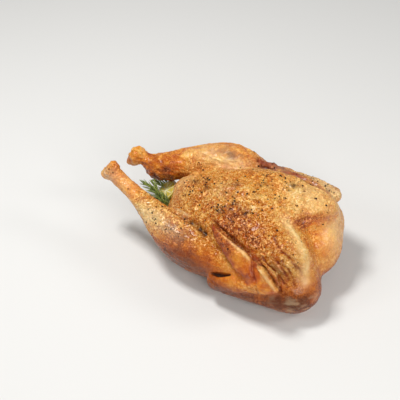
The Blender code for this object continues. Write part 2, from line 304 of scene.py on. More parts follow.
def give(mesh, name, values):
    """Writes one number for each point of the mesh, for its material to read."""
    layer = mesh.attributes.new(name, "FLOAT", "POINT")
    layer.data.foreach_set("value", np.asarray(values, np.float32))


def mesh_arrays(mesh):
    """The mesh's points and its edges, as arrays."""
    points = np.zeros(len(mesh.vertices) * 3)
    mesh.vertices.foreach_get("co", points)
    edges = np.zeros(len(mesh.edges) * 2, int)
    mesh.edges.foreach_get("vertices", edges)
    return points.reshape(-1, 3), edges.reshape(-1, 2)


def mean_of_neighbours(values, edges, count):
    """The mean of what the count points joined to each point hold."""
    total = np.zeros_like(values)
    for k in range(values.shape[1]):
        total[:, k] = (np.bincount(edges[:, 0], values[edges[:, 1], k], len(values))
                       + np.bincount(edges[:, 1], values[edges[:, 0], k], len(values)))
    return total / count[:, None]


def smoothed(points, edges, passes):
    """Takes facets away and keeps the volume: each pass shrinks, then swells."""
    count = np.bincount(edges.ravel(), minlength=len(points))
    for _ in range(passes):
        for share in (0.50, -0.52):
            points = points + share * (mean_of_neighbours(points, edges, count) - points)
    return points


def normals_of(mesh):
    normals = np.zeros(len(mesh.vertices) * 3)
    mesh.vertex_normals.foreach_get("vector", normals)
    return normals.reshape(-1, 3)


def remeshed(node, cell):
    """The node's solid as an even mesh of its own."""
    bm = bmesh.new()
    bm.from_mesh(node.data)
    bmesh.ops.remove_doubles(bm, verts=bm.verts, dist=1e-6)
    mesh = bpy.data.meshes.new("skin_source")
    bm.to_mesh(mesh)
    bm.free()
    source = bpy.data.objects.new("skin_source", mesh)
    bpy.context.scene.collection.objects.link(source)
    voxels = source.modifiers.new("voxels", "REMESH")
    voxels.mode = "VOXEL"
    voxels.voxel_size = cell
    even = bpy.data.meshes.new_from_object(
        source.evaluated_get(bpy.context.evaluated_depsgraph_get()))
    bpy.data.objects.remove(source)
    return even


# --- The shape of the skin ---------------------------------------------------

# creases below 0 and ridges above it: line, width and height
CREASED = [(SKIN_WEB, 0.0036, 0.0026), (FAR_LEG_CREASE, 0.0060, -0.0030),
           (FAR_WING_EDGE, 0.0034, -0.0016), (FAR_CREVICE, 0.0026, -0.0026),
           (FAR_WING_FOLD, 0.0026, -0.0022), (THIGH_FOOT, 0.0034, 0.0010),
           (THUMB_SEAM, 0.0020, -0.0022), (KEEL_LINE, 0.0035, -0.0018),
           (WISHBONE, 0.0055, 0.0016), (NECK_SHELF, 0.0046, -0.0026)]


def crinkles(p, where):
    """Short curling wrinkles, thickest on the breast, and the follicles of feathers."""
    swirl = p + 0.0030 * np.stack([noise(p, 0.009, 20 + k) for k in range(3)], axis=-1)
    wrinkles = 0.00210 * (ridges(swirl, 0.0058, 3, 2) - 0.4) * (0.45 + 0.55 * where["breast"])
    follicles = 0.00055 * (0.5 - cells(p, 0.0042, 7))
    return (wrinkles + follicles) * (1 - where["calm"])


def pleated(p, where):
    """The gathered folds under the wishbone, and small pleats between them."""
    pleats = ridges(drawn_out(p, FOLD_RUN, 0.25), 0.0060, 34, 2)
    valleys = gathers(p, 0.0018) * (0.75 + 0.5 * noise(p, 0.007, 32))
    return 0.0018 * (pleats - 0.4) * where["folds"] - 0.0019 * valleys


def limb_wrinkles(p, where):
    """Long wrinkles down the legs and the near wing."""
    slant = drawn_out(p, (1.0, 0.0, 0.0), 0.35)
    legs = np.maximum(where["near_leg"], 2.1 * where["far_leg"])
    return (0.0010 * (ridges(slant, 0.0075, 40, 2) - 0.4) * legs
            + 0.0011 * (ridges(slant, 0.0085, 44, 2) - 0.4) * where["near_wing"])


def wing_blades(where):
    """The wings' blades stand out, with a crevice round them, deep on the breast's side."""
    out = 0.0
    for name in ("hand", "thumb"):
        off, across, kept = where[name]
        inside = on_strip(where[name]) * kept
        ridge = 0.0020 * bell(across, 0.35, 0.45) + 0.0022 * bell(across, 0.72, 0.16)
        out += inside * (0.0020 + ridge)
        crevice = bell(off, 0.0020, 0.0016) * kept
        out -= crevice * (0.0060 * step_up(across, 0.0, 0.6) + 0.0016 * step_up(-across, 0.0, 0.6))
    off, across, kept = where["far_wing"]
    out += 0.0032 * step_up(-off, -0.0010, 0.0030) * kept
    crevice = bell(off, 0.0022, 0.0020) * kept
    out -= crevice * (0.0050 * step_up(-across, 0.0, 0.6) + 0.0012 * step_up(across, 0.0, 0.6))
    return out


def torn_places(p, crumple):
    """Torn skin between the near leg and the breast, and round the legs' bare ends."""
    lip = p + np.array([0.0, 0.006, 0.002])
    out = -0.0055 * stroke(p, TORN_GAP, 0.0026) * (0.65 + 0.35 * crumple)
    out += 0.0022 * stroke(lip, TORN_GAP, 0.0022)
    out += 0.0018 * noise(p, 0.0070, 60, 3) * step_up(-p[:, 0], 0.140, 0.154)
    return out + 0.0014 * ridges(p, 0.0050, 61) * step_up(-p[:, 0], 0.152, 0.160)


def relief(p, where):
    """How far the skin stands out at each point, in metres."""
    crumple = noise(p, 0.008, 50, 2)
    out = 0.0012 * noise(p, 0.034, 1, 2)           # the skin's own slack
    out += crinkles(p, where) + pleated(p, where) + limb_wrinkles(p, where)
    out += wing_blades(where) + torn_places(p, crumple) + lines(p, CREASED)
    out -= 0.0042 * stroke(p, LEG_CREASE, 0.0042) * (1 - stroke(p, SKIN_WEB, 0.0050))
    out -= 0.0060 * step_up(-where["slit"][0], -0.0024, 0.0008)
    # loose crumpled skin under the far leg and along the keel
    out += 0.0034 * crumple * spot(p, (-0.130, 0.018, 0.070), (0.032, 0.030, 0.022))
    out += 0.0020 * crumple * stroke(p, KEEL_LINE, 0.0085)
    return out


# --- The colours of the skin -------------------------------------------------

# line, width and amount
# paler along the wishbone is a painted highlight on its ridge; browner along the neck shelf and the
# far crevice is painted shade in those creases
BROWN_LINES = [(WISHBONE, 0.0040, -0.06), (NECK_SHELF, 0.0090, 0.17), (FAR_TIP, 0.0070, 0.14),
               (FAR_CREVICE, 0.0040, 0.20)]
# patches of each look: centre, radii and amount
BROWNED = [((0.092, -0.060, 0.108), (0.044, 0.022, 0.024), 0.25),
           ((0.045, -0.048, 0.112), (0.026, 0.018, 0.018), 0.24),
           ((-0.035, -0.022, 0.104), (0.028, 0.022, 0.020), 0.12),
           ((0.010, 0.020, 0.126), (0.030, 0.018, 0.014), 0.10),
           # painted shade: browner low on the near thigh
           ((-0.010, -0.092, 0.056), (0.060, 0.022, 0.024), 0.36),
           ((-0.152, -0.054, 0.108), (0.014, 0.012, 0.012), 0.14),
           # painted shade: browner low on the near wing
           ((0.100, -0.098, 0.040), (0.060, 0.022, 0.018), 0.26),
           ((-0.120, 0.024, 0.070), (0.036, 0.030, 0.026), 0.36),
           ((-0.150, -0.048, 0.112), (0.026, 0.020, 0.020), 0.06),
           ((-0.034, -0.083, 0.086), (0.018, 0.012, 0.012), 0.20),
           ((-0.017, 0.070, 0.123), (0.026, 0.014, 0.010), 0.14),
           # painted shade: browner low on the near shoulder
           ((0.160, -0.070, 0.045), (0.034, 0.034, 0.022), 0.32),
           ((0.118, 0.030, 0.128), (0.034, 0.030, 0.016), -0.18),
           ((0.158, 0.035, 0.090), (0.022, 0.024, 0.022), -0.20),
           # paler along the near calf's top: paler skin, and partly a painted highlight
           ((-0.080, -0.072, 0.088), (0.036, 0.012, 0.014), -0.22),
           ((-0.050, 0.058, 0.118), (0.040, 0.020, 0.012), -0.08),
           ((-0.010, 0.057, 0.114), (0.036, 0.012, 0.010), -0.14),
           ((0.165, 0.000, 0.080), (0.024, 0.045, 0.034), 0.07),
           ((0.147, 0.072, 0.110), (0.016, 0.016, 0.014), -0.14)]
# the first patch, along the near calf's top, is paler skin and partly a painted highlight
PALED = [((-0.080, -0.074, 0.088), (0.040, 0.014, 0.014), 0.50),
         ((-0.038, -0.084, 0.086), (0.026, 0.014, 0.012), 0.35),
         ((-0.160, -0.050, 0.110), (0.012, 0.012, 0.012), 0.45),
         ((-0.050, 0.062, 0.116), (0.044, 0.022, 0.016), 0.35),
         ((-0.010, 0.057, 0.114), (0.036, 0.012, 0.010), 0.35),
         ((0.125, 0.034, 0.124), (0.036, 0.030, 0.018), 0.30),
         ((0.160, 0.038, 0.090), (0.020, 0.026, 0.022), 0.30),
         ((0.170, 0.040, 0.070), (0.016, 0.024, 0.024), 0.35),
         ((0.010, -0.012, 0.120), (0.020, 0.014, 0.014), 0.15),
         ((0.080, 0.080, 0.112), (0.050, 0.014, 0.010), 0.40),
         ((0.125, 0.078, 0.112), (0.026, 0.014, 0.010), 0.35),
         ((0.147, 0.072, 0.110), (0.016, 0.016, 0.014), 0.45),
         ((-0.064, 0.004, 0.096), (0.016, 0.026, 0.016), 0.30),
         ((0.176, 0.010, 0.075), (0.014, 0.034, 0.030), 0.25),
         ((-0.136, -0.054, 0.108), (0.024, 0.018, 0.020), 0.32)]
AMBER = [((0.070, -0.092, 0.100), (0.050, 0.016, 0.016), 0.40),
         ((0.000, -0.104, 0.050), (0.060, 0.022, 0.030), 0.85),
         ((0.100, -0.102, 0.036), (0.060, 0.024, 0.018), 0.65),
         ((0.162, -0.066, 0.044), (0.034, 0.044, 0.026), 0.85),
         ((-0.125, 0.020, 0.076), (0.040, 0.030, 0.024), 0.55)]
BRUISED = [((-0.012, -0.087, 0.084), (0.012, 0.010, 0.022), 1.0),
           ((-0.040, -0.080, 0.090), (0.016, 0.010, 0.010), 1.0),
           ((0.012, -0.096, 0.070), (0.010, 0.010, 0.016), 0.6),
           ((-0.020, 0.068, 0.122), (0.030, 0.012, 0.010), 0.65),
           ((0.022, 0.004, 0.125), (0.014, 0.008, 0.008), 0.50),
           ((0.120, -0.103, 0.048), (0.034, 0.012, 0.012), 0.40)]
DARKENED = [((-0.035, -0.081, 0.089), (0.014, 0.008, 0.008), 0.30),
            ((-0.052, -0.078, 0.091), (0.010, 0.006, 0.006), 0.20),
            ((-0.022, 0.064, 0.122), (0.026, 0.010, 0.008), 0.40),
            ((0.038, -0.030, 0.121), (0.008, 0.007, 0.007), 1.10),
            ((0.061, -0.034, 0.120), (0.007, 0.006, 0.006), 1.15),
            ((0.024, -0.040, 0.115), (0.009, 0.006, 0.006), 0.75),
            ((-0.018, -0.010, 0.114), (0.008, 0.006, 0.006), 0.70),
            ((-0.040, 0.004, 0.106), (0.009, 0.006, 0.006), 0.70),
            ((0.100, 0.034, 0.132), (0.012, 0.007, 0.007), 0.85),
            ((0.060, 0.020, 0.131), (0.009, 0.006, 0.006), 0.60),
            ((0.022, 0.004, 0.126), (0.010, 0.006, 0.006), 0.70)]
# the pale side beside the wishbone, reached by this shift, is a painted highlight on its ridge
WISHBONE_HIGHLIGHT_SHIFT = np.array([0.0035, 0.0020, -0.0020])     # from the wishbone to its pale side


def browning_and_shading(p, out, where):
    """How browned the skin is: 0 pale, 1 burnt. What stands out is paler, as painted light and
    shade.
    """
    fine = where["fine"]
    brown_and_shade = 0.39 + (0.16 * where["mottle"] + 0.12 * fine) * (1 - 0.5 * where["calm"])
    brown_and_shade += patches(p, BROWNED) + lines(p, BROWN_LINES)
    # painted highlight beside the wishbone's ridge
    # painted light: the folds are painted paler against the shade they lie in
    brown_and_shade -= 0.16 * stroke(p + WISHBONE_HIGHLIGHT_SHIFT, WISHBONE, 0.0120) + 0.09 * where["folds"]
    # painted light and shade from the relief: what stands out is paler, creases and hollows browner
    brown_and_shade -= 52 * np.clip(out - 0.0004, -0.0016, 0.0016)
    # painted shade: browner towards the bottom
    brown_and_shade += 0.26 * step_up(0.056 - p[:, 2], 0.0, 0.036)
    far_calf = where["far_leg"] * step_up(-p[:, 0], 0.060, 0.095)
    brown_and_shade += 0.20 * far_calf * noise(drawn_out(p, (1.0, 0.0, 0.0), 0.4), 0.0055, 37, 2)
    brown_and_shade += on_strip(where["hand"]) * (0.22 + 0.12 * fine) + 0.10 * on_strip(where["thumb"])
    # painted highlights along the bright edges of the hand and the thumb
    brown_and_shade -= 0.34 * strip_edge(where["hand"], *HAND_HIGHLIGHT)
    return brown_and_shade - 0.26 * strip_edge(where["thumb"], *THUMB_HIGHLIGHT)


def reddening(p, where, valleys):
    """Red-brown streaks on the wings, in the folds and at the legs' ends, and painted shade in
    crevices.
    """
    fine, hand, thumb = where["fine"], where["hand"], where["thumb"]
    red = 0.90 * on_strip(hand) * spot(p, (0.030, -0.069, 0.107), (0.014, 0.012, 0.014))
    red += 0.90 * strip_edge(hand, -0.55, 0.24) * step_up(fine, -0.8, 0.2)
    red += 0.60 * stroke(p, THUMB_SEAM, 0.0030) * step_up(fine, -0.9, 0.1)
    red += 0.25 * on_strip(thumb) * step_up(fine, -0.4, 0.4)
    # painted shade: red-brown in the crevices beside the hand and the thumb
    for off, across, kept in (hand, thumb):
        red += 0.60 * bell(off, 0.0036, 0.0034) * step_up(across, 0.1, 0.7) * kept
    red += 0.35 * spot(p, (0.090, -0.100, 0.038), (0.050, 0.020, 0.012)) * step_up(fine, -0.5, 0.4)
    off, across, kept = where["far_wing"]
    edge = bell(off, 0.0006, 0.0030) * step_up(-across, 0.0, 0.6)
    red += 0.85 * edge * kept * step_up(fine, -0.9, 0.1)
    red += 0.80 * spot(p, (0.030, 0.080, 0.110), (0.024, 0.014, 0.012))
    red += 0.40 * stroke(p, FAR_WING_FOLD, 0.0040) * step_up(fine, -0.6, 0.3)
    red += 0.85 * stroke(p, FAR_TIP, 0.0060) * step_up(fine, -1.0, 0.0)
    # painted shade: red-brown in the far crevice and in the valleys between the folds
    red += 0.40 * stroke(p, FAR_CREVICE, 0.0034) + 0.80 * valleys
    pleats = step_up(noise(drawn_out(p, FOLD_RUN, 0.25), 0.0050, 36, 2), 0.0, 0.5)
    red += where["folds"] * (0.28 * step_up(fine, -0.6, 0.3) + 0.40 * pleats)
    return red + 0.50 * step_up(-p[:, 0], 0.150, 0.170) * step_up(0.092 - p[:, 2], 0.0, 0.012)


def paling_and_highlights(p, where, low, streaks):
    """Where the skin stayed pale or shows the pale flesh under it, and painted highlights."""
    fine = where["fine"]
    pale_and_highlight = patches(p, PALED) * (0.75 + 0.45 * fine)
    # painted highlight beside the wishbone's ridge
    pale_and_highlight += 0.35 * stroke(p + WISHBONE_HIGHLIGHT_SHIFT, WISHBONE, 0.0100) * step_up(where["mottle"], -0.8, 0.4)
    # painted highlights along the bright edges of the hand and the thumb
    pale_and_highlight += 0.45 * strip_edge(where["hand"], *HAND_HIGHLIGHT) * spot(p, (0.078, -0.085, 0.102),
                                                                (0.026, 0.020, 0.016))
    pale_and_highlight += 0.25 * strip_edge(where["thumb"], *THUMB_HIGHLIGHT)
    pale_and_highlight += 0.40 * step_up(-p[:, 0], 0.158, 0.165) * step_up(fine, -0.2, 0.6) * (p[:, 1] < 0)
    pale_and_highlight += 0.34 * low * step_up(streaks, -0.10, 0.50)
    return pale_and_highlight + 0.60 * stroke(p, SKIN_WEB, 0.0028) * step_up(fine, -0.8, 0.1)


def burns_and_shading(p, where, valleys, low, streaks):
    """Burnt specks and dark torn bits, and painted shade deep between parts."""
    fine, mottle = where["fine"], where["mottle"]
    dark_and_shade = patches(p, DARKENED) * step_up(fine, -0.5, 0.3)
    # the torn gap: dark torn bits, with painted shade deep in the gap
    dark_and_shade += 0.90 * stroke(p, TORN_GAP, 0.0022) * step_up(fine, -0.55, 0.30)
    dark_and_shade += 0.60 * spot(p, (0.004, -0.063, 0.094), (0.020, 0.007, 0.006)) * step_up(fine, 0.05, 0.5)
    dark_and_shade += 0.45 * spot(p, (-0.128, 0.014, 0.068), (0.030, 0.024, 0.016)) * step_up(fine, -0.2, 0.5)
    # painted shade in the crease between the near leg and the breast
    dark_and_shade += 0.45 * stroke(p, LEG_CREASE, 0.0026) * step_up(mottle, -0.5, 0.4)
    # painted shadow filling the slit between the thigh and the near elbow
    dark_and_shade += step_up(-where["slit"][0], -0.0014, 0.0002)
    # painted shade in the crevices beside the hand and the thumb
    for off, across, kept in (where["hand"], where["thumb"]):
        dark_and_shade += 0.40 * bell(off, 0.0020, 0.0014) * step_up(across, 0.1, 0.7) * kept
    dark_and_shade += 0.50 * step_up(noise(p, 0.011, 80, 2), 0.25, 0.6) * stroke(p, KEEL_LINE, 0.010)
    dark_and_shade += 0.28 * low * step_up(-streaks, -0.10, 0.50)
    dark_and_shade += 0.26 * where["folds"] * step_up(noise(p, 0.0040, 81, 2), 0.34, 0.55)
    # painted shade in the valleys between the folds and in the far crevice
    dark_and_shade += 0.36 * valleys * step_up(fine, -0.3, 0.5) + 0.35 * stroke(p, FAR_CREVICE, 0.0018)
    dark_and_shade += 0.30 * stroke(p, FAR_TIP, 0.0024) * step_up(fine, -0.3, 0.5)
    # painted shade inside the cavity, low in its middle
    cavity_shade = step_up(-p[:, 0], 0.040, 0.060) * step_up(0.070 - p[:, 2], 0.0, 0.01)
    return dark_and_shade + 0.25 * cavity_shade * (np.abs(p[:, 1]) < 0.035)


def looks(p, out, where):
    """Masks for the skin's material: how browned, red, pale, dark and so on it is, with painted
    light.
    """
    fine, mottle = where["fine"], where["mottle"]
    valleys = gathers(p, 0.0015) * step_up(fine, -0.9, 0.2)
    low = spot(p, (0.160, -0.075, 0.030), (0.045, 0.040, 0.022))
    streaks = noise(np.stack([p[:, 0] * 0.35, p[:, 1] * 0.35, p[:, 2]], axis=-1), 0.005, 90, 3)
    freckled = 0.85 * where["breast"] * (1 - 0.8 * where["neck"]) * step_up(mottle, -0.5, 0.3)
    freckled += 0.50 * where["near_leg"] * step_up(p[:, 2], 0.070, 0.085)
    return {"brown_and_shade": browning_and_shading(p, out, where), "red": reddening(p, where, valleys),
            "pale_and_highlight": paling_and_highlights(p, where, low, streaks),
            "dark_and_shade": burns_and_shading(p, where, valleys, low, streaks),
            "freckled": freckled, "amber": patches(p, AMBER),
            "bruised": patches(p, BRUISED) * step_up(mottle + 0.5 * fine, -0.6, 0.4),
            "calm": where["calm"]}


def linear(red, green, blue):
    """A colour given in sRGB from 0 to 255, as Blender's linear one."""
    return (*[((c / 255 + 0.055) / 1.055)**2.4 if c > 10 else c / 3295
              for c in (red, green, blue)], 1.0)


class Nodes:
    """Short calls for building a material."""

    def __init__(self, name):
        self.material = bpy.data.materials.new(name)
        self.material.use_nodes = True
        self.tree = self.material.node_tree
        self.shader = self.tree.nodes["Principled BSDF"]

    def add(self, kind, **settings):
        node = self.tree.nodes.new("ShaderNode" + kind)
        for key, value in settings.items():
            setattr(node, key, value)
        return node

    def link(self, source, target):
        self.tree.links.new(source, target)

    def put(self, socket, value):
        if isinstance(value, bpy.types.NodeSocket):
            self.link(value, socket)
        else:
            socket.default_value = value

    def where(self):
        return self.add("TexCoord").outputs["Object"]

    def attribute(self, name):
        return self.add("Attribute", attribute_name=name).outputs["Fac"]

    def noise(self, scale, detail=2.0, roughness=0.5, distortion=0.0):
        node = self.add("TexNoise")
        self.link(self.where(), node.inputs["Vector"])
        for key, value in (("Scale", scale), ("Detail", detail), ("Roughness", roughness),
                           ("Distortion", distortion)):
            node.inputs[key].default_value = value
        return node.outputs["Fac"]

    def voronoi(self, scale, feature="F1"):
        node = self.add("TexVoronoi", feature=feature)
        self.link(self.where(), node.inputs["Vector"])
        node.inputs["Scale"].default_value = scale
        return node.outputs["Distance"]

    def math(self, operation, a, b=0.0, clamp=False):
        node = self.add("Math", operation=operation, use_clamp=clamp)
        self.put(node.inputs[0], a)
        self.put(node.inputs[1], b)
        return node.outputs[0]

    def fit(self, value, low, high, to_low=0.0, to_high=1.0):
        node = self.add("MapRange", clamp=True)
        self.put(node.inputs["Value"], value)
        for key, number in (("From Min", low), ("From Max", high), ("To Min", to_low),
                            ("To Max", to_high)):
            node.inputs[key].default_value = number
        return node.outputs["Result"]

    def ramp(self, value, stops):
        node = self.add("ValToRGB")
        marks = node.color_ramp.elements
        while len(marks) < len(stops):
            marks.new(0.5)
        for mark, (place, colour) in zip(marks, stops):
            mark.position = place
            mark.color = colour
        self.link(value, node.inputs["Fac"])
        return node.outputs["Color"]

    def mix(self, share, a, b, blend="MIX"):
        node = self.add("Mix", data_type="RGBA", blend_type=blend, clamp_factor=True)
        self.put(node.inputs["Factor"], share)
        self.put(node.inputs[6], a)
        self.put(node.inputs[7], b)
        return node.outputs[2]

    def shade(self, sockets):
        """Feeds the shader's inputs by name, each from a node or with a constant."""
        for name, value in sockets.items():
            self.put(self.shader.inputs[name], value)

    def bump(self, height, depth, strength=1.0, below=None):
        node = self.add("Bump")
        node.inputs["Distance"].default_value = depth
        node.inputs["Strength"].default_value = strength
        self.link(height, node.inputs["Height"])
        if below is not None:
            self.link(below, node.inputs["Normal"])
        return node.outputs["Normal"]


SKIN_COLOURS = [(0.00, linear(252, 224, 162)), (0.20, linear(241, 184, 94)),
                (0.40, linear(217, 132, 34)), (0.56, linear(192, 92, 12)),
                (0.72, linear(150, 56, 10)), (0.87, linear(94, 36, 14)),
                (1.00, linear(48, 22, 16))]


def skin_material():
    m = Nodes("roast_skin")
    brown_and_shade = m.attribute("brown_and_shade")
    swell = m.math("ABSOLUTE", m.math("SUBTRACT", m.noise(195.0, 2.0, 0.50, 1.5), 0.5))
    fine = m.fit(m.noise(420.0, 2.0), 0.3, 0.7, 0.0, 0.45)
    wrinkle = m.math("ADD", m.fit(swell, 0.0, 0.11), fine)
    blotches = m.fit(m.noise(90.0, 3.0, 0.5), 0.25, 0.75, -0.10, 0.10)
    # painted light and shade on the wrinkles, matching the bump: browner in their valleys, paler
    # towards their crests
    wrinkle_shade = m.fit(wrinkle, 0.10, 1.10, 0.24, -0.15)
    pores = m.fit(m.voronoi(330.0), 0.0, 0.5, 0.10, -0.05)
    rough = m.math("SUBTRACT", 1.0, m.attribute("calm"))
    # the grain holds the pores and the painted shade of the wrinkles
    grain = m.math("MULTIPLY", m.math("ADD", wrinkle_shade, pores), rough)
    detail = m.math("ADD", blotches, grain)
    level = m.math("ADD", brown_and_shade, m.math("MULTIPLY", detail, m.fit(brown_and_shade, 0.15, 0.55, 0.45, 1.0)))
    colour = m.ramp(level, SKIN_COLOURS)
    # painted highlight on the wrinkles' crests
    crest_highlights = m.math("MULTIPLY", m.fit(wrinkle, 0.85, 1.35, 0.0, 0.40), rough)
    colour = m.mix(crest_highlights, colour, linear(244, 196, 134))
    colour = m.mix(m.attribute("red"), colour, linear(152, 50, 12))
    amber = m.ramp(level, [(0.20, linear(206, 126, 16)), (0.50, linear(162, 80, 2)),
                           (0.80, linear(98, 42, 2))])
    colour = m.mix(m.attribute("amber"), colour, amber)
    bruise = m.fit(m.noise(120.0, 3.0), 0.35, 0.60)
    colour = m.mix(m.math("MULTIPLY", m.attribute("bruised"), bruise), colour,
                   linear(124, 64, 40))
    colour = m.mix(m.attribute("pale_and_highlight"), colour, linear(240, 212, 166))
    dots = m.fit(m.voronoi(150.0), 0.19, 0.29, 1.0, 0.0)
    freckles = m.math("MULTIPLY", dots, m.fit(m.noise(70.0, 3.0), 0.46, 0.54))
    colour = m.mix(m.math("MULTIPLY", freckles, m.attribute("freckled")), colour,
                   linear(92, 34, 14))
    colour = m.mix(m.attribute("dark_and_shade"), colour, linear(54, 22, 14))
    gloss = m.fit(m.noise(90.0, 3.0), 0.3, 0.7, 0.14, 0.30)
    wrinkles = m.bump(m.math("MULTIPLY", wrinkle, rough), 0.0013, 1.0)
    follicles = m.bump(m.voronoi(420.0), 0.0006, 0.55, wrinkles)
    m.shade({"Base Color": colour, "Roughness": gloss, "Normal": follicles,
             "Specular IOR Level": 0.36, "Specular Tint": (1.0, 0.80, 0.55, 1.0),
             "Coat Weight": 0.20, "Coat Roughness": 0.15, "Subsurface Weight": 0.10,
             "Subsurface Radius": (1.0, 0.40, 0.12), "Subsurface Scale": 0.003})
    return m.material


def skin():
    """The turkey's solid with its relief, its looks and its material."""
    mesh = remeshed(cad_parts["turkey"], SKIN_CELL)
    points, edges = mesh_arrays(mesh)
    points = smoothed(points, edges, SKIN_SMOOTHING)
    mesh.vertices.foreach_set("co", points.ravel())
    mesh.update()
    where = regions(points)
    out = relief(points, where)
    shape = points + normals_of(mesh) * out[:, None]
    shape[:, 2] = np.maximum(shape[:, 2], 0.0)
    mesh.vertices.foreach_set("co", shape.ravel())
    mesh.update()
    for name, values in looks(points, out, where).items():
        give(mesh, name, np.clip(values, 0, 1))
    mesh.materials.clear()
    mesh.materials.append(skin_material())
    mesh.shade_smooth()
    piece = piece_of("turkey_skin", mesh)
    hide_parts("turkey")
    return piece


# --- Lemon slices ------------------------------------------------------------

SEGMENTS = 9               # of the cut lemon
# shares of a slice's radius: its core, where its flesh ends, and where its rim rounds off
CORE, FLESH_EDGE, RIM_EDGE = 0.10, 0.80, 0.90
SLICE_FIT = 0.985          # the slice's radius beside its solid's
WALL_WIDTH = 0.0008
PLUMPNESS = 0.00035        # how far the flesh stands over the walls
LEMON_AROUND, LEMON_ACROSS = 144, 26    # points round a slice, and from its middle to its rim


def disc_place(node):
    """Centre, facing direction, radius and half thickness of a flat round solid."""
    points = np.array([v.co for v in node.data.vertices])
    centre = (points.min(axis=0) + points.max(axis=0)) / 2
    _, axes = np.linalg.eigh(np.cov((points - centre).T))
    face = axes[:, 0] * np.sign(axes[2, 0])
    off = points - centre
    height = off @ face
    out = np.linalg.norm(off - height[:, None] * face, axis=1)
    return centre, face, out.max(), np.ptp(height) / 2


def lemon_material():
    m = Nodes("cut_lemon")
    rim = m.attribute("rim")
    vesicles = m.noise(900.0, 2.0)
    flesh = m.ramp(vesicles, [(0.25, linear(184, 158, 36)), (0.55, linear(208, 184, 68)),
                              (0.80, linear(230, 214, 126))])
    colour = m.mix(m.attribute("membrane"), flesh, linear(236, 230, 190))
    colour = m.mix(m.fit(rim, 0.30, 0.55), colour, linear(232, 226, 188))
    colour = m.mix(m.fit(rim, 0.72, 0.85), colour, linear(206, 186, 60))
    toasted = m.fit(m.noise(140.0, 3.0), 0.52, 0.75, 0.0, 0.5)
    colour = m.mix(toasted, colour, linear(186, 140, 52))
    m.shade({"Base Color": colour, "Roughness": m.fit(m.noise(300.0), 0.3, 0.7, 0.18, 0.42),
             "Normal": m.bump(vesicles, 0.0005, 0.7), "Subsurface Weight": 0.25,
             "Subsurface Radius": (1.0, 0.85, 0.30), "Subsurface Scale": 0.004})
    return m.material


def segment_walls(angles, out, share, turn):
    """1 on the walls between segments and in the slice's core, 0 elsewhere."""
    part = (angles + turn) * SEGMENTS / (2 * math.pi)
    gap = np.abs(part - np.round(part)) * 2 * math.pi / SEGMENTS * out
    wall = np.exp(-(gap / WALL_WIDTH)**2) * (share < FLESH_EDGE)
    core = np.exp(-(share / CORE)**2)
    return np.maximum(wall, core)


def slice_height(angles, out, share, wall, sign, half):
    """How high a ring of the slice's face lies: flesh plumper than the walls, a round rim."""
    if share >= 1:
        return np.zeros(LEMON_AROUND)
    around = np.stack([np.cos(angles) * out, np.sin(angles) * out,
                       np.full_like(angles, sign * share)], axis=-1)
    plump = PLUMPNESS * (1 - wall) * (share < FLESH_EDGE) + 0.0002 * noise(around, 0.0016, 5)
    edge = max(share - RIM_EDGE, 0) / 0.10
    return sign * (half * 0.90 * math.sqrt(max(1 - edge**2, 0)) + plump - 0.0003)


def ringed_mesh(name, rows, layers):
    """A closed mesh from rings of points, with a number for each point in every layer."""
    ring = np.arange(LEMON_AROUND)
    faces = []
    for k in range(len(rows) - 1):
        a, b = k * LEMON_AROUND + ring, k * LEMON_AROUND + np.roll(ring, -1)
        faces += np.stack([a, a + LEMON_AROUND, b + LEMON_AROUND, b], axis=1).tolist()
    points = np.concatenate(rows)
    faces.append(ring.tolist())
    faces.append((len(points) - 1 - ring).tolist())
    mesh = bpy.data.meshes.new(name)
    mesh.from_pydata(points.tolist(), [], faces)
    bm = bmesh.new()
    bm.from_mesh(mesh)
    for key, values in layers.items():
        layer = bm.verts.layers.float.new(key)
        bm.verts.ensure_lookup_table()
        for vert, value in zip(bm.verts, np.concatenate(values)):
            vert[layer] = float(value)
    bmesh.ops.remove_doubles(bm, verts=bm.verts, dist=1e-6)
    bmesh.ops.recalc_face_normals(bm, faces=bm.faces)
    bm.to_mesh(mesh)
    bm.free()
    return mesh


def lemon_slice(node, material, turn):
    """A slice with rind, pith, segments and their thin walls, in its solid's place."""
    centre, face, radius, half = disc_place(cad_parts[node])
    side = unit(np.cross(face, (0.0, 0.0, 1.0)))
    up = np.cross(face, side)
    angles = np.arange(LEMON_AROUND) * 2 * math.pi / LEMON_AROUND
    spokes = np.cos(angles)[:, None] * side + np.sin(angles)[:, None] * up
    wobble = 1 + 0.010 * np.sin(3 * angles + turn) + 0.006 * np.sin(7 * angles)
    rows, rims, walls = [], [], []
    for sign in (1, -1):
        for k in range(LEMON_ACROSS):
            share = (k + 1) / LEMON_ACROSS if sign > 0 else 1 - k / LEMON_ACROSS
            out = radius * SLICE_FIT * share * wobble
            wall = segment_walls(angles, out, share, turn)
            height = slice_height(angles, out, share, wall, sign, half)
            rows.append(centre + out[:, None] * spokes + height[:, None] * face)
            rims.append(np.full(LEMON_AROUND, step_up(share, FLESH_EDGE - 0.03, 1.0)))
            walls.append(wall)
    mesh = ringed_mesh(node + "_cut", rows, {"rim": rims, "membrane": walls})
    mesh.materials.append(material)
    mesh.shade_smooth()
    piece = piece_of(node + "_cut", mesh)
    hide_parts(node)
    return piece


# --- Rosemary ----------------------------------------------------------------

NEEDLE_LENGTH, NEEDLE_WIDTH = 0.0200, 0.0019
NEEDLE_RINGS = 6
# the corners of a needle: across and up, in half widths, and 1 for the one below
NEEDLE_CORNERS = ((-1, -0.35, 0), (0, 0.45, 0), (1, -0.35, 0), (0, -0.5, 1))
STEM_RADIUS = 0.0010
STEM_RINGS, STEM_SIDES = 12, 6
WHORL_GAP = 0.0022         # from one pair of needles to the next
